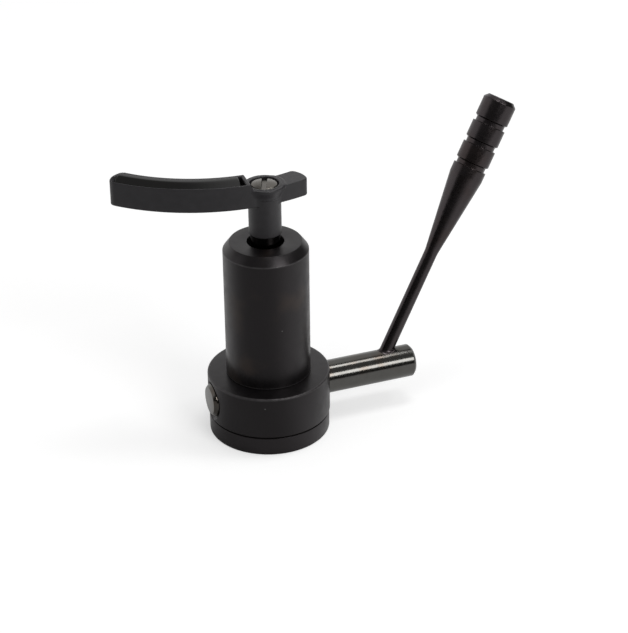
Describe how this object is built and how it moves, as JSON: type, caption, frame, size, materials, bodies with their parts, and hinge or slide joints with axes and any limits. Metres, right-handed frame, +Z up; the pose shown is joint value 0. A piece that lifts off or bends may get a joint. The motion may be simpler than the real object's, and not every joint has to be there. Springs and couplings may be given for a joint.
{
  "type": "tonearm lift",
  "caption": "Cueing lift for a record player's tonearm: a round base and barrel, a finger lever on a cross shaft, and a curved padded bar on a damped rod that rises as the lever is pushed back.",
  "frame": {"origin": "centre of the base's flat resting face, on the axis of the barrel and the rod", "axes": "+Z points up along the rod, and +X runs along the cam shaft to the lever; the bar's tray lies towards -X at rest"},
  "size_m": [0.0647, 0.0188, 0.0465],
  "materials": {
    "cover_aluminium": "black anodised, satin",
    "screw_steel": "blackened",
    "base_aluminium": "black anodised, satin",
    "barrel_aluminium": "black anodised, satin",
    "bush_brass": "turned",
    "seal_rubber": "matte",
    "spring_steel": "drawn wire",
    "piston_brass": "turned",
    "follower_steel": "ground",
    "rod_steel": "blackened, polished",
    "clamp_steel": "blued",
    "arm_plastic": "moulded, matte",
    "strip_rubber": "smooth, glossy",
    "shaft_steel": "polished, blackened",
    "cam_steel": "ground",
    "pin_steel": "ground",
    "washer_plastic": "smooth",
    "ring_rubber": "matte",
    "lever_steel": "blackened, fine turned",
    "set_screw_steel": "blackened"
  },
  "bodies": {
    "base": {"bottom_cover": "cover_aluminium", "cover_screws": "screw_steel", "base_collar": "base_aluminium", "barrel": "barrel_aluminium", "rod_bush": "bush_brass", "rod_seal": "seal_rubber", "thrust_washers": "washer_plastic", "return_spring": "spring_steel"},
    "lever": {"cam_shaft": "shaft_steel", "lift_cam": "cam_steel", "cam_pin": "pin_steel", "shaft_o_rings": "ring_rubber", "control_lever": "lever_steel", "lever_set_screw": "set_screw_steel"},
    "rod": {"piston": "piston_brass", "piston_rod": "rod_steel", "cam_follower": "follower_steel", "clamp_screw": "clamp_steel"},
    "arm": {"lift_arm": "arm_plastic", "rubber_strip": "strip_rubber"}
  },
  "joints": [
    {"name": "lever_turn", "type": "hinge", "parent": "base", "child": "lever", "pos_m": [0, 0, 0.0063], "axis": [-1, 0, 0], "range_deg": [0, 80]},
    {"name": "rod_lift", "type": "slide", "parent": "base", "child": "rod", "axis": [0, 0, 1], "range_m": [0, 0.00265], "stiffness_N_per_m": 40, "springref_m": -0.004, "deforming": ["return_spring"]},
    {"name": "arm_swivel", "type": "hinge", "parent": "rod", "child": "arm", "pos_m": [0, 0, 0.04], "axis": [0, 0, 1], "continuous": true}
  ],
  "couplings": [
    {"joint": "lever_turn", "follows": "rod_lift", "rad_per_m": 526.32}
  ]
}
